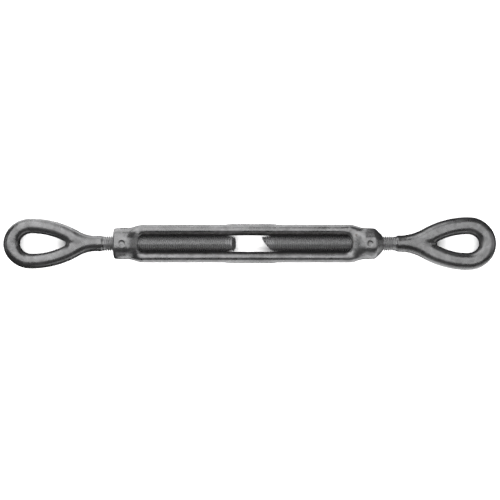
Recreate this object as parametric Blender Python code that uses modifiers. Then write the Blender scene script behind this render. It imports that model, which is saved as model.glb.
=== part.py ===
"""Eye-and-eye rigging turnbuckle with an open body: 5/8 in thread, 9 in take-up.

Three forgings make the whole object. The open body has a threaded hub at each
end, joined by two side reins. A right-hand threaded eye screws into the -X
hub, and a left-hand threaded eye screws into the +X hub, so turning the body
draws both eyes in or lets both out.

Units are metres. +X runs along the screw axis, +Y across the eyes and the
reins, +Z up through the window. The object lies on its hubs' flat pads: Z = 0
is that surface, and X = 0, Y = 0 is the middle of the overall box.
"""

import math

import bmesh
import bpy
from mathutils import Matrix, Vector

# ---------------------------------------------------------------- dimensions
THREAD_R = 0.0079375  # 5/8 in UNC, major radius
ROOT_R = 0.0065  # minor radius of the rolled thread
PITCH = 0.0254 / 11.0
BORE_R = 0.00825  # hub bore, clear of the thread crests by 0.3 mm

AXIS_Z = 0.0159  # height of the screw axis over the pads' plane
BODY_X = -0.0056  # middle of the body's window, along X

# body: lengths along X are measured out from the middle of the window
END_RH = 0.1428  # outer face of the right-hand hub
END_LH = 0.1508  # outer face of the left-hand hub
HUB_R = 0.01675
PAD_HALF = math.sqrt(HUB_R**2 - AXIS_Z**2)  # half width of a hub's flat pad
FLARE_OUT_RH = 0.1285  # the hub starts to spread into the reins
FLARE_IN_RH = 0.1110  # the reins have their full section
FLARE_OUT_LH = 0.1320
FLARE_IN_LH = 0.1145
REIN_Y = 0.01475  # rein centre, out from the axis
REIN_A = 0.00565  # rein half thickness across Y
REIN_B = 0.0090  # rein half depth along Z
WINDOW_HALF = 0.1160  # half length of the window
WINDOW_CORNER = 0.0066
END_ROUND = 0.0022  # edge break on the right-hand hub's end
END_CONE = 0.0080  # deep 45 degree cone that marks the left-hand hub's end
BORE_CHAMFER = 0.0012

# eye fittings: distances are measured inwards from the eye's outer end. The two
# eyes come from different dies, so each has its own outline.
RIGHT_EYE = {
    "half": 0.02715,  # half width of the eye at its widest
    "end_t": 0.0300,  # depth of the oval outer end
    "side_t": 0.0306,  # where the side starts to curve in
    "side_r": 0.1034,
    "flare_r": 0.0360,  # hollow curve from the eye into the shank
    "shank": 0.0083,
    "hole_start": 0.0180,
    "hole_half": 0.0113,
    "hole_side_r": 0.0780,
}
LEFT_EYE = {
    "half": 0.02880,
    "end_t": 0.0304,
    "side_t": 0.0305,
    "side_r": 0.0999,
    "flare_r": 0.0510,
    "shank": 0.0089,
    "hole_start": 0.0186,
    "hole_half": 0.0104,
    "hole_side_r": 0.0700,
}
SHANK_END = 0.1090  # where the thread starts
ROD_CUT = 0.2523  # outer end to where the shear cut crosses the axis
EYE_HALF_Z = 0.0078  # half thickness between the eye's two flats
EYE_ROUND = 0.0064  # rounding of the eye bar's edges
TIP_ROUND = 0.0030  # radius of the eye hole's narrow end
HOLE_WIDE_T = 0.0310  # where the hole is widest

# slant of the sheared rod ends, in degrees, and the way the cut face leans
SHEAR_RH = (19.0, "Z")
SHEAR_LH = (37.0, "Y")

BODY_COLOUR = (0.50, 0.51, 0.52)
EYE_COLOUR = (0.46, 0.47, 0.48)


# ------------------------------------------------------------------- helpers
def clear_scene():
    for obj in list(bpy.data.objects):
        bpy.data.objects.remove(obj, do_unlink=True)
    for block in (bpy.data.meshes, bpy.data.curves, bpy.data.materials):
        for item in list(block):
            block.remove(item)
    for collection in list(bpy.data.collections):
        bpy.data.collections.remove(collection)


def new_collection(name):
    collection = bpy.data.collections.new(name)
    bpy.context.scene.collection.children.link(collection)
    return collection


def steel(name, colour, roughness):
    material = bpy.data.materials.new(name)
    material.use_nodes = True
    shader = material.node_tree.nodes["Principled BSDF"]
    shader.inputs["Base Color"].default_value = (*colour, 1.0)
    shader.inputs["Metallic"].default_value = 0.85
    shader.inputs["Roughness"].default_value = roughness
    return material


def object_from_bmesh(name, bm, collection):
    mesh = bpy.data.meshes.new(name)
    bm.to_mesh(mesh)
    bm.free()
    obj = bpy.data.objects.new(name, mesh)
    collection.objects.link(obj)
    return obj


def as_cutter(obj):
    obj.hide_render = True
    obj.display_type = "WIRE"
    return obj


def cut(obj, cutter, operation="DIFFERENCE"):
    modifier = obj.modifiers.new(f"{operation.title()} {cutter.name}", "BOOLEAN")
    modifier.operation = operation
    modifier.solver = "EXACT"
    modifier.object = cutter
    return modifier


def loft(name, rings, collection):
    """A closed solid through rings of equal point counts, capped at both ends."""
    bm = bmesh.new()
    made = [[bm.verts.new(p) for p in ring] for ring in rings]
    for low, high in zip(made, made[1:]):
        count = len(low)
        for i in range(count):
            j = (i + 1) % count
            bm.faces.new((low[i], low[j], high[j], high[i]))
    bm.faces.new(list(reversed(made[0])))
    bm.faces.new(made[-1])
    bmesh.ops.recalc_face_normals(bm, faces=bm.faces)
    return object_from_bmesh(name, bm, collection)


def mesh_from_curve(curve_obj, name, collection):
    """The curve's evaluated mesh as an object of its own; the curve is removed."""
    graph = bpy.context.evaluated_depsgraph_get()
    mesh = bpy.data.meshes.new_from_object(curve_obj.evaluated_get(graph))
    bm = bmesh.new()
    bm.from_mesh(mesh)
    bmesh.ops.remove_doubles(bm, verts=bm.verts, dist=1e-6)
    bmesh.ops.recalc_face_normals(bm, faces=bm.faces)
    bm.to_mesh(mesh)
    bm.free()
    obj = bpy.data.objects.new(name, mesh)
    obj.matrix_world = curve_obj.matrix_world
    collection.objects.link(obj)
    data = curve_obj.data
    bpy.data.objects.remove(curve_obj, do_unlink=True)
    bpy.data.curves.remove(data)
    return obj


def smooth_shaded(obj, degrees=35.0):
    obj.data.shade_smooth()
    obj.data.set_sharp_from_angle(angle=math.radians(degrees))


def mix(a, b, w):
    return a + (b - a) * w


def ease(w):
    w = min(max(w, 0.0), 1.0)
    return w * w * (3.0 - 2.0 * w)


# ---------------------------------------------------------------------- body
def body_ring(x, spread, inset, steps=12):
    """One section of the body's outer form, from a round hub (spread 0) to the
    wide oval around both reins (spread 1), drawn in by inset."""
    hub_limit = math.asin(AXIS_Z / HUB_R)
    right = []
    for i in range(steps + 1):
        s = -1.0 + 2.0 * i / steps
        hub = (HUB_R * math.cos(s * hub_limit), HUB_R * math.sin(s * hub_limit))
        turn = s * math.pi / 2.0
        oval = (REIN_Y + REIN_A * math.cos(turn), REIN_B * math.sin(turn))
        right.append((mix(hub[0], oval[0], spread), mix(hub[1], oval[1], spread)))
    outline = right + [(-y, z) for y, z in reversed(right)]
    scale = 1.0 - inset / HUB_R
    return [Vector((x, y * scale, z * scale)) for y, z in outline]


def body_stations():
    """(x, spread, inset) along the body, from the right-hand hub to the other."""
    yield -END_RH, 0.0, END_ROUND
    for turn in (25.0, 50.0, 90.0):
        a = math.radians(turn)
        yield (
            -END_RH + END_ROUND * (1.0 - math.cos(a)),
            0.0,
            END_ROUND * (1.0 - math.sin(a)),
        )
    flare = 7
    for i in range(flare + 1):
        w = i / flare
        yield -mix(FLARE_OUT_RH, FLARE_IN_RH, w), ease(w), 0.0
    for i in range(flare, -1, -1):
        w = i / flare
        yield mix(FLARE_OUT_LH, FLARE_IN_LH, w), ease(w), 0.0
    yield END_LH - END_CONE, 0.0, 0.0
    yield END_LH - 0.0004, 0.0, END_CONE - 0.0009
    yield END_LH, 0.0, END_CONE


def window_cutter(collection):
    """Rounded slot through the body, wider at its top and bottom than in the
    middle, so that it leaves the reins' inner sides crowned."""
    rings = []
    levels = [-1.0, -0.94, -0.8, -0.6, -0.35, 0.0, 0.35, 0.6, 0.8, 0.94, 1.0]
    heights = [(-2.2, 1.0)] + [(f, f) for f in levels] + [(2.2, 1.0)]
    for height, f in heights:
        spread = REIN_A * (1.0 - math.sqrt(max(0.0, 1.0 - f * f)))
        half_x = WINDOW_HALF + 0.6 * spread
        half_y = REIN_Y - REIN_A + spread
        corner = WINDOW_CORNER + 0.9 * spread
        ring = []
        for cx, cy, start in ((1, 1, 0), (-1, 1, 90), (-1, -1, 180), (1, -1, 270)):
            for i in range(6):
                a = math.radians(start + 90.0 * i / 5)
                ring.append(
                    Vector(
                        (
                            cx * (half_x - corner) + corner * math.cos(a),
                            cy * (half_y - corner) + corner * math.sin(a),
                            height * REIN_B,
                        )
                    )
                )
        rings.append(ring)
    return as_cutter(loft("window_cutter", rings, collection))


def bore_cutter(name, outer, collection):
    """A hub's bore with a chamfer at its outer mouth, as a turned profile."""
    inner = WINDOW_HALF
    profile = [
        (0.0, outer + 0.002),
        (BORE_R + BORE_CHAMFER, outer + 0.002),
        (BORE_R + BORE_CHAMFER, outer),
        (BORE_R, outer - BORE_CHAMFER),
        (BORE_R, inner - 0.008),
        (0.0, inner - 0.008),
    ]
    mesh = bpy.data.meshes.new(name)
    mesh.from_pydata(
        [(r, 0.0, z) for r, z in profile],
        [(i, i + 1) for i in range(len(profile) - 1)],
        [],
    )
    obj = bpy.data.objects.new(name, mesh)
    collection.objects.link(obj)
    screw = obj.modifiers.new("Turn", "SCREW")
    screw.axis = "Z"
    screw.steps = screw.render_steps = 32
    screw.use_merge_vertices = True
    screw.merge_threshold = 0.00001
    obj.rotation_euler = (0.0, math.radians(90.0), 0.0)
    return as_cutter(obj)


def make_body(parts, cutters, material):
    body = loft(
        "turnbuckle_body",
        [body_ring(x, spread, inset) for x, spread, inset in body_stations()],
        parts,
    )
    body.location = (BODY_X, 0.0, AXIS_Z)
    window = window_cutter(cutters)
    window.location = body.location
    cut(body, window)
    for side, end, name in (
        (1, END_LH, "left_hand_bore_cutter"),
        (-1, END_RH, "right_hand_bore_cutter"),
    ):
        bore = bore_cutter(name, end, cutters)
        bore.location = body.location
        if side < 0:
            bore.rotation_euler = (0.0, math.radians(-90.0), 0.0)
        cut(body, bore)
    body.data.materials.append(material)
    smooth_shaded(body)
    return body


# ---------------------------------------------------------------- eye fitting
def arc(cx, cy, radius, start, end, steps, radius_y=None):
    """Points on an arc, angles in radians, both ends included."""
    out = []
    for i in range(steps + 1):
        a = mix(start, end, i / steps)
        out.append(
            (cx + radius * math.cos(a), cy + (radius_y or radius) * math.sin(a))
        )
    return out


def eye_outline(eye):
    """Half of the outer outline, from the eye's outer end to the shank's end, as
    (distance in from the outer end, half width)."""
    side_y = eye["half"] - eye["side_r"]
    rise = eye["shank"] + eye["flare_r"] - side_y
    flare_t = eye["side_t"] + math.sqrt(
        (eye["side_r"] + eye["flare_r"]) ** 2 - rise**2
    )
    meet = math.atan2(rise, flare_t - eye["side_t"])
    points = arc(
        eye["end_t"], 0.0, eye["end_t"], math.pi, math.pi / 2.0, 14, eye["half"]
    )
    points += arc(eye["side_t"], side_y, eye["side_r"], math.pi / 2.0, meet, 8)
    points += arc(
        flare_t,
        eye["shank"] + eye["flare_r"],
        eye["flare_r"],
        meet + math.pi,
        math.pi * 1.5,
        5,
    )[1:]
    points.append((SHANK_END, eye["shank"]))
    return points


def hole_outline(eye):
    """Half of the eye's hole, from its wide end to its narrow end."""
    start, half, side_r = eye["hole_start"], eye["hole_half"], eye["hole_side_r"]
    side_y = half - side_r
    reach = math.sqrt((side_r - TIP_ROUND) ** 2 - side_y**2)
    tip_t = HOLE_WIDE_T + reach
    meet = math.atan2(-side_y, reach)
    points = arc(
        HOLE_WIDE_T, 0.0, HOLE_WIDE_T - start, math.pi, math.pi / 2.0, 8, half
    )
    points += arc(HOLE_WIDE_T, side_y, side_r, math.pi / 2.0, meet, 6)[1:]
    points += arc(tip_t, 0.0, TIP_ROUND, meet, 0.0, 3)[1:]
    return points


def closed_loop(half):
    """A half outline with its mirror image, as one loop without repeats."""
    mirrored = [(t, -y) for t, y in reversed(half) if abs(y) > 1e-9]
    return half + mirrored


def eye_plate(name, eye, collection):
    """Eye and shank: a flat outline with its hole, thickened and rounded over."""
    data = bpy.data.curves.new(name + "_outline", "CURVE")
    data.dimensions = "2D"
    data.fill_mode = "BOTH"
    data.extrude = EYE_HALF_Z - EYE_ROUND
    data.bevel_depth = EYE_ROUND
    data.bevel_resolution = 3
    data.offset = -EYE_ROUND
    for loop in (closed_loop(eye_outline(eye)), closed_loop(hole_outline(eye))):
        spline = data.splines.new("POLY")
        spline.points.add(len(loop) - 1)
        for point, (t, y) in zip(spline.points, loop):
            point.co = (t, y, 0.0, 1.0)
        spline.use_cyclic_u = True
    curve = bpy.data.objects.new(name + "_outline", data)
    collection.objects.link(curve)
    bpy.context.view_layer.update()
    return mesh_from_curve(curve, name, collection)


def threaded_rod(name, left_hand, shear, collection):
    """The threaded length, from inside the shank to the slanted sheared end. One
    pitch of the V profile is screwed along the axis, then cut square at one end
    and on a slant at the other."""
    begin = SHANK_END - 0.006
    lean = math.tan(math.radians(shear[0]))
    longest = ROD_CUT + THREAD_R * lean
    turns = int(math.ceil((longest - begin) / PITCH)) + 3
    mesh = bpy.data.meshes.new(name)
    mesh.from_pydata(
        [(ROOT_R, 0.0, 0.0), (THREAD_R, 0.0, PITCH / 2.0), (ROOT_R, 0.0, PITCH)],
        [(0, 1), (1, 2)],
        [],
    )
    obj = bpy.data.objects.new(name, mesh)
    collection.objects.link(obj)
    screw = obj.modifiers.new("Thread", "SCREW")
    screw.axis = "Z"
    screw.steps = screw.render_steps = 12
    screw.screw_offset = PITCH
    screw.iterations = turns
    screw.use_merge_vertices = True
    screw.merge_threshold = 0.00001
    bpy.context.view_layer.update()
    graph = bpy.context.evaluated_depsgraph_get()
    bm = bmesh.new()
    bm.from_mesh(bpy.data.meshes.new_from_object(obj.evaluated_get(graph)))
    bpy.data.objects.remove(obj, do_unlink=True)
    bmesh.ops.remove_doubles(bm, verts=bm.verts, dist=1e-6)
    # from the modelling axis Z to +X, starting a turn and a half inside the shank
    turn = Matrix.Rotation(math.radians(90.0), 4, "Y")
    place = Matrix.Translation((begin - 1.5 * PITCH, 0.0, 0.0))
    bmesh.ops.transform(bm, matrix=place @ turn, verts=bm.verts)
    if left_hand:
        bmesh.ops.scale(bm, vec=(1.0, -1.0, 1.0), verts=bm.verts)
    slant = Vector((0.0, 0.0, 1.0)) if shear[1] == "Z" else Vector((0.0, 1.0, 0.0))
    for point, out in (
        (Vector((begin, 0.0, 0.0)), Vector((-1.0, 0.0, 0.0))),
        (Vector((ROD_CUT, 0.0, 0.0)), Vector((1.0, 0.0, 0.0)) + lean * slant),
    ):
        everything = list(bm.verts) + list(bm.edges) + list(bm.faces)
        made = bmesh.ops.bisect_plane(
            bm, geom=everything, plane_co=point, plane_no=out, clear_outer=True
        )
        rim = [e for e in made["geom_cut"] if isinstance(e, bmesh.types.BMEdge)]
        bmesh.ops.edgenet_fill(bm, edges=rim)
    bmesh.ops.recalc_face_normals(bm, faces=bm.faces)
    return object_from_bmesh(name, bm, collection)


def make_fitting(name, shape, left_hand, shear, outer_x, parts, cutters, material):
    """An eye, its shank and its threaded rod as one forging. It is modelled with
    its outer end at the origin and the rod along +X, and turned round for the
    +X side."""
    eye = eye_plate(name, shape, parts)
    rod = threaded_rod(name + "_rod", left_hand, shear, cutters)
    as_cutter(rod)
    cut(eye, rod, "UNION")
    for obj in (eye, rod):
        obj.location = (outer_x, 0.0, AXIS_Z)
        if outer_x > 0:
            obj.rotation_euler = (0.0, 0.0, math.radians(180.0))
    eye.data.materials.clear()
    eye.data.materials.append(material)
    smooth_shaded(eye)
    return eye


def main():
    clear_scene()
    parts = new_collection("rigging_turnbuckle")
    cutters = new_collection("cutters")
    cutters.hide_render = True
    body_steel = steel("galvanised_body", BODY_COLOUR, 0.48)
    eye_steel = steel("galvanised_eye", EYE_COLOUR, 0.45)
    make_body(parts, cutters, body_steel)
    make_fitting(
        "eye_fitting_rh",
        RIGHT_EYE,
        False,
        SHEAR_RH,
        -0.2693,
        parts,
        cutters,
        eye_steel,
    )
    make_fitting(
        "eye_fitting_lh",
        LEFT_EYE,
        True,
        SHEAR_LH,
        0.2693,
        parts,
        cutters,
        eye_steel,
    )
    bpy.context.view_layer.update()


main()
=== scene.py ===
import math

import bmesh
import bpy
import numpy as np
from mathutils import Matrix, Vector, noise


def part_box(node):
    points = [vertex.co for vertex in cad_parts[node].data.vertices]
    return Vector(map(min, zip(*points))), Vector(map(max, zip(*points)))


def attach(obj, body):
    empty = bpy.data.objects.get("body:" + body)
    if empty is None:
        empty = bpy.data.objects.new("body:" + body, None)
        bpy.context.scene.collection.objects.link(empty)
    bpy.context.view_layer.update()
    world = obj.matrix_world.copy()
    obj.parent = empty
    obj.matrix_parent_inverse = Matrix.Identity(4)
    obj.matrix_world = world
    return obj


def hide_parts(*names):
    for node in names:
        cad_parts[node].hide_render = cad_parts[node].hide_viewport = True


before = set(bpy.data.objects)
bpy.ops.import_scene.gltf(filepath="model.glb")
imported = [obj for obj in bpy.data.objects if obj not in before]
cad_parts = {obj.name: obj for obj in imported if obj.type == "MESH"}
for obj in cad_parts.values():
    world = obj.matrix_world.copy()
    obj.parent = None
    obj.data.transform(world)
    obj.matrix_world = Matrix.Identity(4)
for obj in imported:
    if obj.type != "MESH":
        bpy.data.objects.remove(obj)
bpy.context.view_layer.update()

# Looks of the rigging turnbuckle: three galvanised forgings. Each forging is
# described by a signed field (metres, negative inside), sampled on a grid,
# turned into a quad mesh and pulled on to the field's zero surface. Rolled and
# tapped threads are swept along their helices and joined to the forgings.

# ---------------------------------------------------------------- dimensions
BODY_LO, BODY_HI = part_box("turnbuckle_body")
RH_LO, RH_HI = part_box("eye_fitting_rh")
LH_LO, LH_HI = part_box("eye_fitting_lh")
AXIS_Z = (BODY_LO[2] + BODY_HI[2]) / 2.0
RH_END = RH_LO[0]
LH_END = LH_HI[0]

MM = 0.001
BODY_X = -5.6 * MM  # middle of the window
END_RH = BODY_X - BODY_LO[0]
END_LH = BODY_HI[0] - BODY_X
THREAD_R = 7.9375 * MM
ROOT_R = 6.52 * MM
PITCH = 25.4 / 11.0 * MM
BORE_R = 8.25 * MM
HUB_R = 16.75 * MM
HUB_FLAT = AXIS_Z
FLARE_OUT_RH, FLARE_IN_RH = 128.5 * MM, 111.0 * MM
FLARE_OUT_LH, FLARE_IN_LH = 132.0 * MM, 114.5 * MM
REIN_Y = 14.75 * MM
REIN_A = 5.65 * MM
REIN_B = 9.0 * MM
WINDOW_HALF = 116.0 * MM
END_CONE = 8.0 * MM

SHANK_END = 109.0 * MM
ROD_CUT = 252.3 * MM
HOLE_WIDE_T = 31.0 * MM
TIP_ROUND = 3.0 * MM

RIGHT_EYE = {
    "half": 27.15, "end_t": 30.0, "side_t": 30.6, "side_r": 103.4,
    "flare_r": 36.0, "shank": 8.3,
    "hole_start": 18.0, "hole_half": 11.3, "hole_side_r": 78.0,
    "bar": 7.6, "thick": 7.8, "web": 0.5,
}
LEFT_EYE = {
    "half": 28.80, "end_t": 30.4, "side_t": 30.5, "side_r": 99.9,
    "flare_r": 51.0, "shank": 8.9,
    "hole_start": 18.6, "hole_half": 10.4, "hole_side_r": 70.0,
    "bar": 7.7, "thick": 7.8, "web": 1.7,
}
for eye in (RIGHT_EYE, LEFT_EYE):
    for key in eye:
        eye[key] *= MM


# ------------------------------------------------------------ field functions
def mix(a, b, w):
    return a + (b - a) * w


def ease(w):
    w = np.clip(w, 0.0, 1.0)
    return w * w * (3.0 - 2.0 * w)


def smax(a, b, k):
    """Smooth maximum: the overlap of two fields with its edge rounded."""
    h = np.clip(0.5 + 0.5 * (a - b) / k, 0.0, 1.0)
    return mix(b, a, h) + k * h * (1.0 - h)


def smin(a, b, k):
    return -smax(-a, -b, k)


def oval(u, v, a, b, n):
    """About the distance to a superellipse with half axes a and b, u, v >= 0."""
    s = b / a
    us = np.maximum(u * s, 1e-7)
    vs = np.maximum(v, 1e-7)
    g = (us**n + vs**n) ** (1.0 / n)
    slope = g ** (1.0 - n) * np.sqrt((s * us ** (n - 1.0)) ** 2 + vs ** (2.0 * n - 2.0))
    return (g - b) / np.maximum(slope, 0.6)


def bump(x, half, soft):
    """1 inside +-half, falling to 0 over soft."""
    return ease((half + soft - np.abs(x)) / soft)


def body_field(p):
    """The body's forging in its own coordinates: x from its middle, y and z from
    the screw axis. The bores are cut later."""
    x, y, z = p[:, 0], p[:, 1], p[:, 2]
    ax, ay, az = np.abs(x), np.abs(y), np.abs(z)
    r = np.hypot(y, z)
    flare_out = np.where(x < 0.0, FLARE_OUT_RH, FLARE_OUT_LH)
    flare_in = np.where(x < 0.0, FLARE_IN_RH, FLARE_IN_LH)
    w = ease((flare_out - ax) / (flare_out - flare_in))
    hub = smax(r - HUB_R, az - HUB_FLAT, 0.9 * MM)
    wide = oval(np.maximum(ay - REIN_Y, 0.0), az, REIN_A, REIN_B, 2.25)
    outer = mix(hub, wide, w)
    # raised oblong pad on each rein's outer face, and shallow round dimples on
    # the hubs' faces
    pad = bump(x - 7.0 * MM, 24.0 * MM, 5.0 * MM) * bump(az, 3.6 * MM, 2.6 * MM)
    outer = outer - 0.75 * MM * pad * (w > 0.5)
    for cx, cr in ((-133.0 * MM, 3.3 * MM), (136.0 * MM, 3.0 * MM)):
        d = np.hypot(x - cx, y)
        outer = outer + 0.62 * MM * ease((cr + 0.5 * MM - d) / (1.5 * MM)) * (az > 12 * MM)
        ring = np.abs(d - (cr + 1.35 * MM))
        outer = outer - 0.16 * MM * ease((0.9 * MM - ring) / (0.9 * MM)) * (az > 12 * MM)
    # window: each rein's inner side is crowned, and the ends are fillets
    inner = oval(np.maximum(REIN_Y - ay, 0.0), az, REIN_A, REIN_B, 2.25)
    block = WINDOW_HALF - ax
    kept = smin(inner, block, 7.7 * MM)
    soft = mix(0.3 * MM, 3.0 * MM, ease((ax - 107.0 * MM) / (7.0 * MM)))
    f = smax(outer, kept, soft)
    # trimmed flash along the parting plane
    flash = 0.20 * MM * np.exp(-((z / (0.95 * MM)) ** 2)) * ease((140.0 * MM - ax) / (3.0 * MM))
    f = f - flash
    # hub ends
    f = smax(f, -x - END_RH, 2.6 * MM)
    cone = (x - (END_LH - END_CONE) + r - HUB_R) / math.sqrt(2.0)
    f = smax(f, cone, 1.3 * MM)
    return smax(f, x - END_LH, 0.7 * MM)


# eye outlines -----------------------------------------------------------------
def arc(cx, cy, radius, start, end, steps, radius_y=None):
    a = np.linspace(start, end, steps + 1)
    return np.stack([cx + radius * np.cos(a), cy + (radius_y or radius) * np.sin(a)], 1)


def eye_outline(e):
    side_y = e["half"] - e["side_r"]
    rise = e["shank"] + e["flare_r"] - side_y
    flare_t = e["side_t"] + math.sqrt((e["side_r"] + e["flare_r"]) ** 2 - rise**2)
    meet = math.atan2(rise, flare_t - e["side_t"])
    return np.concatenate([
        arc(e["end_t"], 0.0, e["end_t"], math.pi, math.pi / 2.0, 90, e["half"]),
        arc(e["side_t"], side_y, e["side_r"], math.pi / 2.0, meet, 60),
        arc(flare_t, e["shank"] + e["flare_r"], e["flare_r"], meet + math.pi, math.pi * 1.5, 40)[1:],
        np.array([[0.135, e["shank"]]]),
    ])


def hole_outline(e):
    start, half, side_r = e["hole_start"], e["hole_half"], e["hole_side_r"]
    side_y = half - side_r
    reach = math.sqrt((side_r - TIP_ROUND) ** 2 - side_y**2)
    tip_t = HOLE_WIDE_T + reach
    meet = math.atan2(-side_y, reach)
    points = np.concatenate([
        arc(HOLE_WIDE_T, 0.0, HOLE_WIDE_T - start, math.pi, math.pi / 2.0, 60, half),
        arc(HOLE_WIDE_T, side_y, side_r, math.pi / 2.0, meet, 50)[1:],
        arc(tip_t, 0.0, TIP_ROUND, meet, 0.0, 16)[1:],
    ])
    return points, tip_t + TIP_ROUND


def distance_to(points, line):
    """Shortest distance from each point to a polyline."""
    best = np.full(len(points), 1e9)
    for a, b in zip(line[:-1], line[1:]):
        d = b - a
        k = np.clip(((points - a) @ d) / max(d @ d, 1e-18), 0.0, 1.0)
        gap = points - a - k[:, None] * d
        best = np.minimum(best, np.einsum("ij,ij->i", gap, gap))
    return np.sqrt(best)


class Plan:
    """Signed distance to the eye's outline seen from above, kept on a grid over
    the half plane y >= 0 and read by interpolation. Negative inside the bar."""

    STEP = 0.3 * MM

    def __init__(self, e):
        self.t = np.arange(-4.0 * MM, 124.0 * MM, self.STEP)
        self.y = np.arange(-1.2 * MM, 34.0 * MM, self.STEP)
        tt, yy = np.meshgrid(self.t, self.y, indexing="ij")
        at = np.stack([tt.ravel(), np.abs(yy.ravel())], 1)
        outline = eye_outline(e)
        hole, self.tip = hole_outline(e)
        outer = distance_to(at, outline)
        inner = distance_to(at, hole)
        under = at[:, 1] < np.interp(at[:, 0], outline[:, 0], outline[:, 1], left=-1.0)
        outer = np.where(under, -outer, outer)
        order = np.argsort(hole[:, 0], kind="stable")
        within = at[:, 1] < np.interp(at[:, 0], hole[order, 0], hole[order, 1], left=-1.0, right=-1.0)
        inner = np.where(within, inner, -inner)
        self.grid = np.maximum(outer, inner).reshape(tt.shape)

    def __call__(self, t, y):
        a = np.clip((t - self.t[0]) / self.STEP, 0.0, len(self.t) - 1.001)
        b = np.clip((np.abs(y) - self.y[0]) / self.STEP, 0.0, len(self.y) - 1.001)
        i, j = a.astype(int), b.astype(int)
        a, b = a - i, b - j
        g = self.grid
        return mix(
            mix(g[i, j], g[i + 1, j], a), mix(g[i, j + 1], g[i + 1, j + 1], a), b
        )


def eye_field(e):
    plan = Plan(e)

    def field(p):
        t, y, z = p[:, 0], p[:, 1], p[:, 2]
        inside = -plan(t, y)
        to_shank = ease((t - 66.0 * MM) / (30.0 * MM))
        bar = mix(e["bar"], e["shank"], to_shank)
        thick = mix(e["thick"], e["shank"], to_shank)
        thick = np.minimum(thick, 8.55 * MM)
        # the two limbs stay apart as low ridges past the hole's narrow end
        dip = np.exp(-(((t - plan.tip - 3.0 * MM) / (9.0 * MM)) ** 2) - (y / (3.6 * MM)) ** 2)
        thick = thick - e["web"] * dip
        n = mix(2.12, 2.0, to_shank)
        u = np.maximum(bar - inside, 0.0)
        v = np.abs(z) * bar / thick
        f = (np.maximum(u, 1e-7) ** n + np.maximum(v, 1e-7) ** n) ** (1.0 / n) - bar
        flash = 0.17 * MM * np.exp(-((z / (0.9 * MM)) ** 2)) * ease((103.0 * MM - t) / (12.0 * MM))
        f = f - flash
        r = np.hypot(y, z)
        f = smax(f, (t - SHANK_END + 1.0 * MM + r - e["shank"]) / math.sqrt(2.0), 0.8 * MM)
        return smax(f, t - SHANK_END - 1.2 * MM, 0.4 * MM)

    return field


# ----------------------------------------------------------- meshes from fields
CORNERS = [(i, j, k) for i in (0, 1) for j in (0, 1) for k in (0, 1)]
EDGES = [(a, b) for a in range(8) for b in range(a + 1, 8)
         if sum(abs(CORNERS[a][i] - CORNERS[b][i]) for i in range(3)) == 1]


def surface_net(field, lo, hi, step):
    """One vertex in each grid cell that the surface crosses, and one quad across
    each grid edge that it crosses."""
    lo, hi = np.array(lo, float), np.array(hi, float)
    n = np.ceil((hi - lo) / step).astype(int) + 1
    axes = [lo[i] + step * np.arange(n[i]) for i in range(3)]
    f = np.empty(n)
    plane = np.stack(np.meshgrid(axes[1], axes[2], indexing="ij"), -1).reshape(-1, 2)
    for start in range(0, n[0], 24):
        xs = axes[0][start:start + 24]
        pts = np.concatenate([
            np.repeat(xs, len(plane))[:, None], np.tile(plane, (len(xs), 1))
        ], 1)
        f[start:start + 24] = field(pts).reshape(len(xs), n[1], n[2])
    corner = [f[i:n[0] - 1 + i, j:n[1] - 1 + j, k:n[2] - 1 + k] for i, j, k in CORNERS]
    count = sum((c < 0).astype(np.int8) for c in corner)
    active = (count > 0) & (count < 8)
    index = np.full(active.shape, -1, np.int64)
    index[active] = np.arange(active.sum())
    values = np.stack([c[active] for c in corner], 1)
    total = np.zeros((len(values), 3))
    crossings = np.zeros(len(values))
    where = np.array(CORNERS, float)
    for a, b in EDGES:
        fa, fb = values[:, a], values[:, b]
        crossed = (fa < 0) != (fb < 0)
        k = np.where(crossed, fa / np.where(crossed, fa - fb, 1.0), 0.0)
        total += np.where(crossed[:, None], where[a] + k[:, None] * (where[b] - where[a]), 0.0)
        crossings += crossed
    base = np.stack(np.nonzero(active), 1)
    verts = lo + step * (base + total / crossings[:, None])
    quads = []
    solid = f < 0
    for axis in range(3):
        u, v = (axis + 1) % 3, (axis + 2) % 3
        first = [slice(1, -1)] * 3
        second = [slice(1, -1)] * 3
        first[axis], second[axis] = slice(0, -1), slice(1, None)
        a, b = solid[tuple(first)], solid[tuple(second)]
        at = np.stack(np.nonzero(a != b), 1)
        offset = np.ones(3, int)
        offset[axis] = 0
        at = at + offset
        ring = []
        for du, dv in ((-1, -1), (0, -1), (0, 0), (-1, 0)):
            cell = at.copy()
            cell[:, u] += du
            cell[:, v] += dv
            ring.append(index[cell[:, 0], cell[:, 1], cell[:, 2]])
        ring = np.stack(ring, 1)
        facing = a[a != b]
        quads.append(np.where(facing[:, None], ring, ring[:, ::-1]))
    return verts, np.concatenate(quads)


def gradient(field, p, h=0.05 * MM):
    out = np.empty_like(p)
    for i in range(3):
        d = np.zeros(3)
        d[i] = h
        out[:, i] = (field(p + d) - field(p - d)) / (2.0 * h)
    return out


def on_to_surface(field, verts, rounds, step):
    for _ in range(rounds):
        g = gradient(field, verts)
        size = np.maximum(np.einsum("ij,ij->i", g, g), 0.04)
        move = -(field(verts) / size)[:, None] * g
        length = np.linalg.norm(move, axis=1, keepdims=True)
        verts = verts + move * np.minimum(1.0, 0.5 * step / np.maximum(length, 1e-12))
    return verts


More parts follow.
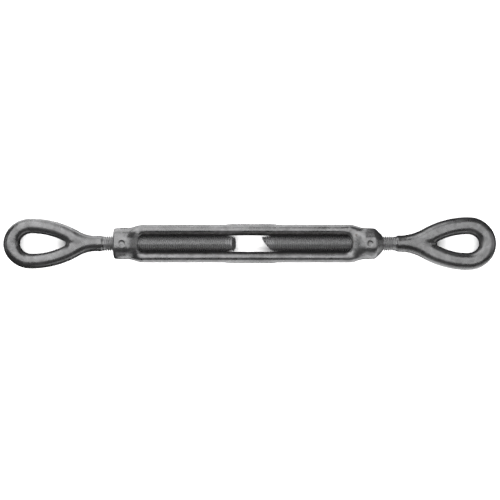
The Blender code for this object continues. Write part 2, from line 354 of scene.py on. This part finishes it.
def relaxed(field, verts, quads, step, rounds=4):
    """Evens the quads out along the surface, and keeps them on it."""
    ends = np.concatenate([quads[:, [0, 1]], quads[:, [1, 2]], quads[:, [2, 3]], quads[:, [3, 0]]])
    ends = np.unique(np.sort(ends, 1), axis=0)
    degree = np.bincount(ends.ravel(), minlength=len(verts))[:, None]
    verts = on_to_surface(field, verts, 3, step)
    for _ in range(rounds):
        mean = np.zeros_like(verts)
        for i in range(3):
            mean[:, i] = (
                np.bincount(ends[:, 0], verts[ends[:, 1], i], len(verts))
                + np.bincount(ends[:, 1], verts[ends[:, 0], i], len(verts))
            )
        verts = mix(verts, mean / degree, 0.6)
        verts = on_to_surface(field, verts, 1, step)
    return on_to_surface(field, verts, 2, step)


def forged(field, verts, seed, coarse, fine):
    """The small unevenness of a hammered, hot-dipped surface, along the normals."""
    g = gradient(field, verts)
    g /= np.maximum(np.linalg.norm(g, axis=1, keepdims=True), 1e-9)
    shift = Vector((seed * 3.1, seed * 7.7, seed * 1.3))
    amount = np.empty(len(verts))
    for i, p in enumerate(verts):
        q = Vector(p) / MM
        amount[i] = (
            coarse * noise.noise(q * 0.075 + shift)
            + fine * noise.noise(q * 0.30 + shift)
            + 0.5 * fine * noise.noise(q * 0.75 - shift)
        )
    return verts + g * (amount * MM)[:, None]


def mesh_from(name, verts, faces):
    mesh = bpy.data.meshes.new(name)
    mesh.from_pydata(verts.tolist(), [], faces.tolist())
    mesh.validate()
    mesh.update()
    obj = bpy.data.objects.new(name, mesh)
    bpy.context.scene.collection.objects.link(obj)
    return obj


def field_object(name, field, lo, hi, step, seed, limit=None, coarse=0.13, fine=0.045):
    verts, quads = surface_net(field, lo, hi, step)
    verts = relaxed(field, verts, quads, step)
    verts = forged(field, verts, seed, coarse, fine)
    if limit:
        verts[:, 2] = np.clip(verts[:, 2], -limit, limit)
    return mesh_from(name, verts, quads)


# ----------------------------------------------------------------- threads
def rolled_profile(count, root, crest):
    """Radius at count even steps over one pitch, from root to crest and back: a
    60 degree thread softened by its zinc coat."""
    fine = np.linspace(0.0, 1.0, 960, endpoint=False)
    across = np.abs((fine + 0.5) % 1.0 - 0.5) * PITCH  # from the root's middle
    flat_root, flat_crest = 0.19 * MM, 0.17 * MM
    k = (across - flat_root) / (PITCH / 2.0 - flat_crest - flat_root)
    r = root + (crest - root) * np.clip(k, 0.0, 1.0)
    spread = np.exp(-0.5 * ((fine - 0.5) / 0.045) ** 2)
    r = np.real(np.fft.ifft(np.fft.fft(r) * np.fft.fft(np.fft.ifftshift(spread / spread.sum()))))
    r = root + (r - r.min()) / (r.max() - r.min()) * (crest - root)
    return np.interp(np.arange(count) / count, fine, r)


def helix(name, begin, end, around, profile, hand, radius):
    """A surface swept along its helix: radius(r, x, angle) shapes the profile's
    own radius r. It is left open, and longer than begin to end."""
    samples = len(profile)
    turns = int(math.ceil((end - begin) / PITCH)) + 4
    steps = turns * around + 1
    k = np.arange(steps)
    angle = 2.0 * math.pi * k / around
    x = begin - 1.5 * PITCH + PITCH * (k[:, None] / around + np.arange(samples)[None] / samples)
    angle = np.repeat(angle[:, None], samples, 1)
    r = radius(np.repeat(profile[None], steps, 0), x, angle)
    verts = np.stack([x, hand * r * np.sin(angle), r * np.cos(angle)], -1).reshape(-1, 3)
    ids = np.arange(steps * samples).reshape(steps, samples)
    low, high = ids[:-1, :-1], ids[1:, :-1]
    inner = np.stack([low, high, ids[1:, 1:], ids[:-1, 1:]], -1).reshape(-1, 4)
    last = steps - 1 - around
    seam = np.stack([
        ids[:last, -1], ids[1:last + 1, -1], ids[1 + around:last + 1 + around, 0],
        ids[around:last + around, 0],
    ], -1)
    faces = np.concatenate([inner, seam])
    bm = bmesh.new()
    made = [bm.verts.new(v) for v in verts]
    for f in faces:
        bm.faces.new([made[i] for i in f])
    return bm


def cut_away(bm, at, out):
    everything = list(bm.verts) + list(bm.edges) + list(bm.faces)
    made = bmesh.ops.bisect_plane(
        bm, geom=everything, plane_co=at, plane_no=out, clear_outer=True, dist=1e-8
    )
    return [e for e in made["geom_cut"] if isinstance(e, bmesh.types.BMEdge)]


def rim_loop(edges):
    """The rim's vertices in order."""
    edge_of = {}
    for e in edges:
        for v in e.verts:
            edge_of.setdefault(v, []).append(e)
    loop = [edges[0].verts[0]]
    came = None
    while True:
        here = loop[-1]
        step = [e for e in edge_of[here] if e is not came]
        came = step[0]
        there = came.other_vert(here)
        if there is loop[0]:
            return loop
        loop.append(there)


def sheared_end(bm, rim, normal, depth, seed):
    """Closes the rod's cut end with a rolled edge and a slightly torn face."""
    loop = rim_loop(rim)
    centre = sum((v.co for v in loop), Vector()) / len(loop)
    shift = Vector((seed, seed * 2.3, 0.4))
    previous = loop
    for scale, out in ((0.985, 0.40), (0.955, 0.72), (0.90, 0.93), (0.82, 1.0), (0.62, 0.97), (0.40, 0.93), (0.18, 0.9)):
        ring = []
        for v in loop:
            arm = v.co - centre
            p = centre + arm * scale + normal * depth * out
            if scale < 0.85:
                p += normal * 0.16 * MM * noise.noise(p / MM * 0.7 + shift)
            ring.append(bm.verts.new(p))
        for i in range(len(loop)):
            j = (i + 1) % len(loop)
            bm.faces.new((previous[i], previous[j], ring[j], ring[i]))
        previous = ring
    tip = bm.verts.new(sum((v.co for v in previous), Vector()) / len(previous))
    for i in range(len(previous)):
        bm.faces.new((previous[i], previous[(i + 1) % len(previous)], tip))


def rod(name, hand, shear, bend, seed):
    """The threaded length, from inside the shank to its sheared end."""
    lean = math.tan(math.radians(shear[0]))
    along = 2 if shear[1] == "Z" else 1
    begin = SHANK_END - 5.0 * MM
    longest = ROD_CUT + THREAD_R * lean
    profile = rolled_profile(12, ROOT_R, THREAD_R - 0.02 * MM)

    def shape(r, x, angle):
        # the thread runs out in the last turns before the shank
        out = ease((SHANK_END + 4.6 * MM - x) / (4.2 * MM))
        r = mix(r, np.maximum(r, 7.75 * MM), out)
        worn = 0.05 * MM * np.sin(angle * 0.37 + x / MM * 0.05 + seed)
        worn += 0.03 * MM * np.sin(angle * 3.0 + x / MM * 0.9 + seed * 2)
        crest = np.clip((r - ROOT_R) / (THREAD_R - ROOT_R), 0.0, 1.0) ** 3
        return r - np.maximum(worn, 0.0) * crest

    bm = helix(name, begin, longest, 60, profile, hand, shape)
    depth = 0.9 * MM
    slant = Vector((0.0, 0.0, 0.0))
    slant[along] = 1.0
    normal = (Vector((1.0, 0.0, 0.0)) + lean * slant).normalized()
    rim = cut_away(bm, Vector((begin, 0.0, 0.0)), Vector((-1.0, 0.0, 0.0)))
    bmesh.ops.edgenet_fill(bm, edges=rim)
    for v in bm.verts:
        v.co.x += bend * (v.co[along] / MM) ** 2 * MM
    rim = cut_away(bm, Vector((ROD_CUT, 0.0, 0.0)) - normal * depth, normal)
    sheared_end(bm, rim, normal, depth, seed)
    for v in bm.verts:
        v.co.x -= bend * (v.co[along] / MM) ** 2 * MM
    bmesh.ops.remove_doubles(bm, verts=bm.verts, dist=2e-7)
    bmesh.ops.recalc_face_normals(bm, faces=bm.faces)
    mesh = bpy.data.meshes.new(name)
    bm.to_mesh(mesh)
    bm.free()
    obj = bpy.data.objects.new(name, mesh)
    bpy.context.scene.collection.objects.link(obj)
    return obj


def tap(name, hand, end, mouth):
    """What is cut from a hub: its tapped bore, open at both ends. x runs outwards
    from the window's middle to the hub's end; mouth is the chamfer's width there."""
    inner, outer = WINDOW_HALF - 9.0 * MM, end + 3.0 * MM
    profile = rolled_profile(8, BORE_R + 0.62 * MM, BORE_R)

    def shape(r, x, angle):
        r = np.maximum(r, BORE_R + mouth - (end - x))
        return np.maximum(r, BORE_R + 1.6 * MM - (x - WINDOW_HALF))

    bm = helix(name, inner, outer, 60, profile, hand, shape)
    for at, out in ((inner, -1.0), (outer, 1.0)):
        rim = cut_away(bm, Vector((at, 0.0, 0.0)), Vector((out, 0.0, 0.0)))
        bmesh.ops.edgenet_fill(bm, edges=rim)
    for v in bm.verts:  # the window side flares wide, so keep it inside the gap
        r = math.hypot(v.co.y, v.co.z)
        if r > 9.85 * MM:
            v.co.y *= 9.85 * MM / r
            v.co.z *= 9.85 * MM / r
    bmesh.ops.recalc_face_normals(bm, faces=bm.faces)
    mesh = bpy.data.meshes.new(name)
    bm.to_mesh(mesh)
    bm.free()
    obj = bpy.data.objects.new(name, mesh)
    bpy.context.scene.collection.objects.link(obj)
    return obj


def joined(obj, others, operation):
    """Applies a Boolean with each other object, then removes those."""
    for other in others:
        m = obj.modifiers.new(other.name, "BOOLEAN")
        m.operation = operation
        m.solver = "MANIFOLD"
        m.object = other
    bpy.context.view_layer.update()
    graph = bpy.context.evaluated_depsgraph_get()
    mesh = bpy.data.meshes.new_from_object(obj.evaluated_get(graph))
    obj.modifiers.clear()
    old = obj.data
    obj.data = mesh
    bpy.data.meshes.remove(old)
    for other in others:
        data = other.data
        bpy.data.objects.remove(other, do_unlink=True)
        bpy.data.meshes.remove(data)
    return obj


def settle(obj, matrix, name, angle=38.0):
    """Puts the mesh in its place in the frame, keeping the object at the origin."""
    obj.data.transform(matrix)
    obj.data.name = name
    obj.name = name
    obj.data.shade_smooth()
    obj.data.set_sharp_from_angle(angle=math.radians(angle))
    return obj


def add_mask(obj, name, values):
    layer = obj.data.attributes.new(name, "FLOAT", "POINT")
    layer.data.foreach_set("value", np.asarray(values, np.float32))


def points_of(obj):
    co = np.empty(len(obj.data.vertices) * 3)
    obj.data.vertices.foreach_get("co", co)
    return co.reshape(-1, 3)


# ------------------------------------------------------------------ the pieces
def make_body():
    body = field_object(
        "body_net", body_field,
        (-END_RH - 2.2 * MM, -23.0 * MM, -17.6 * MM),
        (END_LH + 2.2 * MM, 23.0 * MM, 17.6 * MM),
        0.68 * MM, 3, HUB_FLAT,
    )
    outer = tap("tap_lh", -1.0, END_LH, 1.2 * MM)
    other = tap("tap_rh", 1.0, END_RH, 1.2 * MM)
    other.data.transform(Matrix.Rotation(math.pi, 4, "Z"))
    joined(body, [outer, other], "DIFFERENCE")
    p = points_of(body)
    r = np.hypot(p[:, 1], p[:, 2])
    # mask for painted shade: the bore's threads by the window and the reins' inner faces towards the rods get
    # a darker base colour
    bore = ((r < 9.9 * MM) & (np.abs(p[:, 0]) > WINDOW_HALF - 3.0 * MM)).astype(float)
    normals = np.empty(len(p) * 3)
    body.data.vertices.foreach_get("normal", normals)
    inward = -np.sign(p[:, 1]) * normals.reshape(-1, 3)[:, 1]
    sheltered = (
        np.clip((inward - 0.42) / 0.40, 0.0, 1.0)
        * (np.abs(p[:, 1]) < 13.5 * MM) * (np.abs(p[:, 1]) > 7.5 * MM)
        * ease((WINDOW_HALF + 1.0 * MM - np.abs(p[:, 0])) / (5.0 * MM))
    )
    add_mask(body, "recess", np.maximum(bore, 1.2 * sheltered))
    add_mask(body, "thread", np.zeros(len(p)))
    return settle(
        body, Matrix.Translation((BODY_X, 0.0, AXIS_Z)), "turnbuckle_body_forging"
    )


def make_fitting(e, name, outer_x, hand, shear, bend, seed):
    field = eye_field(e)
    eye = field_object(
        name + "_net", field,
        (-2.0 * MM, -31.0 * MM, -10.6 * MM),
        (SHANK_END + 3.0 * MM, 31.0 * MM, 10.6 * MM),
        0.55 * MM, seed,
    )
    joined(eye, [rod(name + "_rod", hand, shear, bend, seed)], "UNION")
    p = points_of(eye)
    r = np.hypot(p[:, 1], p[:, 2])
    on_rod = ease((p[:, 0] - SHANK_END - 0.4 * MM) / (1.5 * MM))
    # mask for painted shade: the rod's thread roots get a darker base colour
    add_mask(eye, "recess", on_rod * np.clip((7.55 * MM - r) / (0.95 * MM), 0.0, 1.0)
             * (p[:, 0] < ROD_CUT - 9.0 * MM))
    add_mask(eye, "thread", on_rod)
    turn = Matrix.Rotation(math.pi, 4, "Z") if outer_x > 0 else Matrix.Identity(4)
    return settle(
        eye, Matrix.Translation((outer_x, 0.0, AXIS_Z)) @ turn, name
    )


# ------------------------------------------------------------------- materials
class Nodes:
    """Short names for building a node tree."""

    def __init__(self, name):
        self.material = bpy.data.materials.new(name)
        self.material.use_nodes = True
        self.tree = self.material.node_tree
        self.shader = self.tree.nodes["Principled BSDF"]

    def new(self, kind, **sets):
        node = self.tree.nodes.new(kind)
        for key, value in sets.items():
            setattr(node, key, value)
        return node

    def link(self, a, b):
        self.tree.links.new(a, b)

    def put(self, socket, value):
        if isinstance(value, bpy.types.NodeSocket):
            self.link(value, socket)
        else:
            socket.default_value = value

    def coords(self):
        return self.new("ShaderNodeTexCoord").outputs["Object"]

    def noise(self, at, scale, detail=4.0, rough=0.55, distort=0.0):
        n = self.new("ShaderNodeTexNoise")
        self.link(at, n.inputs["Vector"])
        n.inputs["Scale"].default_value = scale
        n.inputs["Detail"].default_value = detail
        n.inputs["Roughness"].default_value = rough
        n.inputs["Distortion"].default_value = distort
        return n.outputs["Fac"]

    def cells(self, at, scale, feature="F1", out="Distance"):
        n = self.new("ShaderNodeTexVoronoi", feature=feature)
        self.link(at, n.inputs["Vector"])
        n.inputs["Scale"].default_value = scale
        return n.outputs[out]

    def math(self, op, a, b=0.0, c=0.0, clamp=False):
        n = self.new("ShaderNodeMath", operation=op, use_clamp=clamp)
        for i, v in enumerate((a, b, c)):
            self.put(n.inputs[i], v)
        return n.outputs[0]

    def range(self, value, low, high, to_low=0.0, to_high=1.0):
        n = self.new("ShaderNodeMapRange", interpolation_type="SMOOTHSTEP")
        self.put(n.inputs["Value"], value)
        for key, v in (("From Min", low), ("From Max", high), ("To Min", to_low), ("To Max", to_high)):
            n.inputs[key].default_value = v
        return n.outputs["Result"]

    def blend(self, kind, fac, a, b):
        n = self.new("ShaderNodeMix", data_type="RGBA", blend_type=kind)
        self.put(n.inputs["Factor"], fac)
        for socket, v in zip([s for s in n.inputs if s.type == "RGBA"], (a, b)):
            self.put(socket, v)
        return [s for s in n.outputs if s.type == "RGBA"][0]

    def ramp(self, fac, stops):
        n = self.new("ShaderNodeValToRGB")
        self.link(fac, n.inputs["Fac"])
        ramp = n.color_ramp
        while len(ramp.elements) < len(stops):
            ramp.elements.new(0.5)
        for element, (at, colour) in zip(ramp.elements, stops):
            element.position = at
            element.color = (*colour, 1.0)
        return n.outputs["Color"]

    def attribute(self, name):
        return self.new("ShaderNodeAttribute", attribute_name=name).outputs["Fac"]


def galvanised(name, tone, seed, metallic=0.85):
    """Dull hot-dip zinc on a forging: soft grey mottling with faint crystals, a
    pebbled coat, painted shade darkening the hollows, the thread roots and the
    window's inner faces, bare bright wear on the edges and a few specks of rust."""
    n = Nodes(name)
    shift = n.new("ShaderNodeVectorMath", operation="ADD")
    n.link(n.coords(), shift.inputs[0])
    shift.inputs[1].default_value = (seed * 0.37, seed * 0.11, seed * 0.23)
    at = shift.outputs[0]

    cloud = n.noise(at, 38.0, 5.0, 0.6)
    patch = n.noise(at, 115.0, 4.0, 0.62, 0.4)
    grain = n.noise(at, 900.0, 3.0, 0.6)
    pebble = n.noise(at, 330.0, 4.0, 0.55)
    crystal = n.cells(at, 210.0, out="Color")
    crystal_tone = n.new("ShaderNodeSeparateColor")
    n.link(crystal, crystal_tone.inputs[0])
    crystal_edge = n.cells(at, 210.0, feature="DISTANCE_TO_EDGE")

    def grey(v, warm=0.0):
        v = v * tone
        return (v * (1.0 + warm), v, v * (1.0 - warm * 1.2) * 1.01)

    base = n.ramp(n.range(cloud, 0.30, 0.70), [
        (0.0, grey(0.400)), (0.45, grey(0.475)), (0.75, grey(0.520)), (1.0, grey(0.570)),
    ])
    base = n.blend("MIX", n.range(patch, 0.50, 0.72, 0.0, 0.55), base, (*grey(0.345), 1.0))
    base = n.blend("MIX", n.range(patch, 0.46, 0.30, 0.0, 0.40), base, (*grey(0.63), 1.0))
    flakes = n.math("MULTIPLY_ADD", crystal_tone.outputs[0], 0.30, 0.85)
    flake_rgb = n.new("ShaderNodeCombineColor")
    for i in range(3):
        n.link(flakes, flake_rgb.inputs[i])
    base = n.blend("MULTIPLY", 0.55, base, flake_rgb.outputs[0])
    speck = n.range(grain, 0.60, 0.72, 0.0, 0.35)
    base = n.blend("MIX", speck, base, (*grey(0.27), 1.0))

    point = n.new("ShaderNodeNewGeometry").outputs["Pointiness"]
    ridge = n.range(point, 0.515, 0.57)
    hollow = n.range(point, 0.49, 0.43)
    recess = n.attribute("recess")
    on_thread = n.attribute("thread")
    # painted shade: the base colour goes dark in concave places (from pointiness) and wherever the recess mask
    # lies, less so on the threads
    painted_shade = n.math("ADD", n.math("MULTIPLY", hollow, 0.55), n.math("MULTIPLY", recess, 0.75), clamp=True)
    painted_shade = n.math("MULTIPLY", painted_shade, n.range(pebble, 0.30, 0.55, 0.55, 1.0))
    painted_shade = n.math("MULTIPLY", painted_shade, n.math("MULTIPLY_ADD", on_thread, -0.55, 1.0))
    base = n.blend("MIX", n.math("MULTIPLY", on_thread, 0.72), base, (*grey(0.96), 1.0))
    base = n.blend("MIX", n.math("MULTIPLY", painted_shade, 0.80), base, (*grey(0.115, 0.05), 1.0))
    worn = n.math("MULTIPLY", n.math("MULTIPLY", ridge, n.range(pebble, 0.42, 0.62)), 0.55)
    base = n.blend("MIX", worn, base, (*grey(0.72), 1.0))

    # rust only where a stain, a pit and a speck meet
    stain = n.range(n.noise(at, 22.0, 3.0, 0.5), 0.60, 0.72)
    pit = n.range(n.noise(at, 260.0, 5.0, 0.7), 0.55, 0.68)
    rust = n.math("MULTIPLY", n.math("MULTIPLY", stain, pit), 0.55)
    base = n.blend("MIX", rust, base, (0.145 * tone, 0.085 * tone, 0.050 * tone, 1.0))
    n.link(base, n.shader.inputs["Base Color"])

    rough = n.range(cloud, 0.30, 0.72, 0.23, 0.33)
    rough = n.math("ADD", rough, n.range(patch, 0.35, 0.70, -0.03, 0.07))
    rough = n.math("ADD", rough, n.math("MULTIPLY_ADD", crystal_tone.outputs[1], 0.08, -0.04))
    rough = n.math("ADD", rough, n.math("MULTIPLY", painted_shade, 0.16))
    rough = n.math("ADD", rough, n.math("MULTIPLY", rust, 0.30))
    rough = n.math("SUBTRACT", rough, n.math("MULTIPLY", worn, 0.14), clamp=True)
    n.link(rough, n.shader.inputs["Roughness"])
    n.link(n.math("MULTIPLY_ADD", on_thread, -0.22, metallic), n.shader.inputs["Metallic"])

    height = n.math("MULTIPLY", pebble, 1.0)
    height = n.math("ADD", height, n.math("MULTIPLY", grain, 0.30))
    height = n.math("ADD", height, n.math("MULTIPLY", n.range(crystal_edge, 0.0, 0.09), 0.10))
    height = n.math("SUBTRACT", height, n.math("MULTIPLY", n.range(n.noise(at, 520.0, 2.0), 0.66, 0.76), 0.55))
    height = n.math("ADD", height, n.math("MULTIPLY", n.range(n.noise(at, 150.0, 2.0), 0.66, 0.80), 0.8))
    fade = n.math("MULTIPLY_ADD", on_thread, -0.55, 1.0)
    node = n.new("ShaderNodeBump")
    node.inputs["Distance"].default_value = 0.16 * MM
    node.inputs["Strength"].default_value = 0.55
    n.link(n.math("MULTIPLY", height, fade), node.inputs["Height"])
    n.link(node.outputs["Normal"], n.shader.inputs["Normal"])
    return n.material


def dress(obj, material, body, node):
    obj.data.materials.clear()
    obj.data.materials.append(material)
    for polygon in obj.data.polygons:
        polygon.material_index = 0
    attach(obj, body)
    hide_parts(node)


# --------------------------------------------------------------------- stage
def softbox(name, at, aim, size, brightness):
    """A rectangular soft light whose face shines evenly with this brightness."""
    data = bpy.data.lights.new(name, "AREA")
    data.shape = "RECTANGLE"
    data.size, data.size_y = size
    data.energy = brightness * math.pi * size[0] * size[1]
    data.spread = math.pi
    obj = bpy.data.objects.new(name, data)
    obj.visible_camera = False
    obj.location = at
    obj.rotation_mode = "QUATERNION"
    obj.rotation_quaternion = (Vector(aim) - Vector(at)).to_track_quat("-Z", "Y")
    bpy.context.scene.collection.objects.link(obj)
    return obj


def make_stage():
    scene = bpy.context.scene
    bm = bmesh.new()
    bmesh.ops.create_grid(bm, x_segments=8, y_segments=8, size=6.0)
    mesh = bpy.data.meshes.new("floor")
    bm.to_mesh(mesh)
    bm.free()
    floor = bpy.data.objects.new("floor", mesh)
    scene.collection.objects.link(floor)
    n = Nodes("pale_floor")
    n.shader.inputs["Base Color"].default_value = (0.86, 0.86, 0.86, 1.0)
    n.shader.inputs["Roughness"].default_value = 0.9
    n.shader.inputs["Specular IOR Level"].default_value = 0.0
    mesh.materials.append(n.material)
    # the metal is lit by the lamps alone, as on a table flagged off with black
    floor.visible_glossy = False
    floor.visible_diffuse = False
    return floor


def make_lights(floor):
    scene = bpy.context.scene
    # one wide softbox overhead and one along the far side, both nearer the left
    # end, and a smaller one over the right end, give broad flat reflections that
    # stop sharply at the near flanks
    metal = [
        softbox("top_left", (-0.65, 0.76, 1.10), (-0.65, 0.76, 0.0), (1.40, 1.80), 0.86),
        softbox("top_right", (0.42, 0.25, 1.10), (0.42, 0.25, 0.0), (0.74, 1.00), 0.74),
        softbox("far_wall", (-0.55, 1.50, 0.55), (-0.10, 0.0, AXIS_Z), (1.40, 0.90), 0.80),
        # a low strip on the near side
        softbox("low_fill", (0.45, -1.10, 0.22), (0.05, 0.0, AXIS_Z), (1.60, 0.40), 0.42),
        # weak lights off both ends
        softbox("end_right", (1.30, 0.05, 0.32), (0.0, 0.0, AXIS_Z), (0.70, 0.45), 0.34),
        softbox("high_right", (1.00, 0.10, 0.75), (-0.05, 0.0, AXIS_Z), (0.70, 0.60), 0.24),
        softbox("end_left", (-1.30, 0.05, 0.26), (0.0, 0.0, AXIS_Z), (0.70, 0.36), 0.26),
        # white card on the table along both edges
        softbox("card_far", (-0.085, 0.160, 0.001), (-0.085, 0.160, 1.0), (0.43, 0.26), 0.85),
        softbox("card_near", (0.092, -0.160, 0.001), (0.092, -0.160, 1.0), (0.476, 0.26), 0.80),
    ]
    only_metal = bpy.data.collections.new("metal_only")
    for lamp in metal:
        lamp.light_linking.receiver_collection = only_metal

    # the floor's own lamps keep it pale without filling in the metal; they leave
    # out the middle, so that the slits beside the rods stay dark
    only_floor = bpy.data.collections.new("floor_only")
    only_floor.objects.link(floor)
    for side, name in ((1.0, "floor_wash_far"), (-1.0, "floor_wash_near")):
        wash = softbox(name, (0.0, side * 1.25, 2.4), (0.0, side * 1.25, 0.0), (4.0, 1.5), 10.5)
        wash.light_linking.receiver_collection = only_floor

    world = bpy.data.worlds.new("studio")
    world.use_nodes = True
    tree = world.node_tree
    background = tree.nodes["Background"]
    background.inputs["Color"].default_value = (0.90, 0.91, 0.92, 1.0)
    background.inputs["Strength"].default_value = 0.025
    seen = tree.nodes.new("ShaderNodeBackground")
    seen.inputs["Color"].default_value = (0.93, 0.93, 0.93, 1.0)
    seen.inputs["Strength"].default_value = 1.0
    path = tree.nodes.new("ShaderNodeLightPath")
    both = tree.nodes.new("ShaderNodeMixShader")
    tree.links.new(path.outputs["Is Camera Ray"], both.inputs[0])
    tree.links.new(background.outputs[0], both.inputs[1])
    tree.links.new(seen.outputs[0], both.inputs[2])
    tree.links.new(both.outputs[0], tree.nodes["World Output"].inputs["Surface"])
    scene.world = world
    scene.view_settings.view_transform = "Standard"
    scene.view_settings.look = "None"
    return only_metal


def make_camera():
    scene = bpy.context.scene
    data = bpy.data.cameras.new("camera")
    data.sensor_width = 36.0
    data.lens = 100.0
    camera = bpy.data.objects.new("camera", data)
    scene.collection.objects.link(camera)
    per_mm = 0.9146 / 500.0
    distance = data.lens / data.sensor_width / per_mm * MM
    camera.location = (0.0003, -0.0070, AXIS_Z + distance)
    camera.rotation_euler = (0.0, 0.0, 0.0)
    data.clip_start, data.clip_end = 0.05, 30.0
    scene.camera = camera
    return camera


def main():
    make_camera()
    only_metal = make_lights(make_stage())

    body = make_body()
    right = make_fitting(
        RIGHT_EYE, "eye_fitting_rh_forging", RH_END, 1.0, (19.0, "Z"), 0.004, 11
    )
    left = make_fitting(
        LEFT_EYE, "eye_fitting_lh_forging", LH_END, -1.0, (37.0, "Y"), 0.024, 23
    )
    zinc = galvanised("zinc_body", 1.0, 1.0)
    zinc_right = galvanised("zinc_eye_rh", 0.95, 4.0)
    zinc_left = galvanised("zinc_eye_lh", 0.88, 9.0)
    dress(body, zinc, "body", "turnbuckle_body")
    dress(right, zinc_right, "eye_rh", "eye_fitting_rh")
    dress(left, zinc_left, "eye_lh", "eye_fitting_lh")

    for obj in (body, right, left):
        only_metal.objects.link(obj)

    bpy.context.view_layer.update()
    for obj in (body, right, left):
        print(obj.name, len(obj.data.vertices), "vertices", sum(len(f.vertices) - 2 for f in obj.data.polygons), "triangles")


main()
